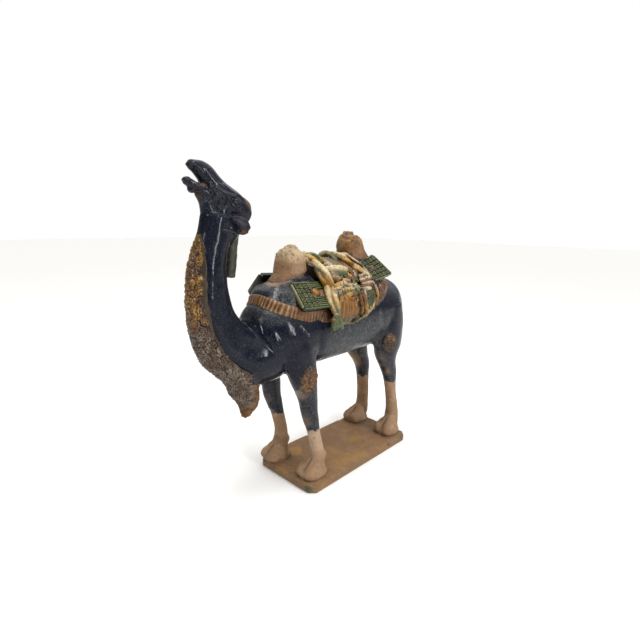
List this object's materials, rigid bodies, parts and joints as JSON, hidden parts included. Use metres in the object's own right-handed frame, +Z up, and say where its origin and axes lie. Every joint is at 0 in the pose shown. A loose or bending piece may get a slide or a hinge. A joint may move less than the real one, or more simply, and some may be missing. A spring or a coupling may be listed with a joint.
{
  "type": "sancai camel figure",
  "caption": "Glazed earthenware two-humped camel with raised head, open mouth and a pack load slung between its humps, standing on a thin rectangular plinth.",
  "frame": {"origin": "on the underside of the plinth, below the middle line of the animal", "axes": "+Z up, -Y the way the camel faces, +X the camel's left side"},
  "size_m": [0.2498, 0.6907, 0.7339],
  "materials": {
    "glazed_earthenware": "lead-glazed earthenware: dark blue body, amber, green and cream load, bare buff clay legs and plinth"
  },
  "bodies": {
    "root": {"sancai_camel": "glazed_earthenware"}
  },
  "joints": []
}
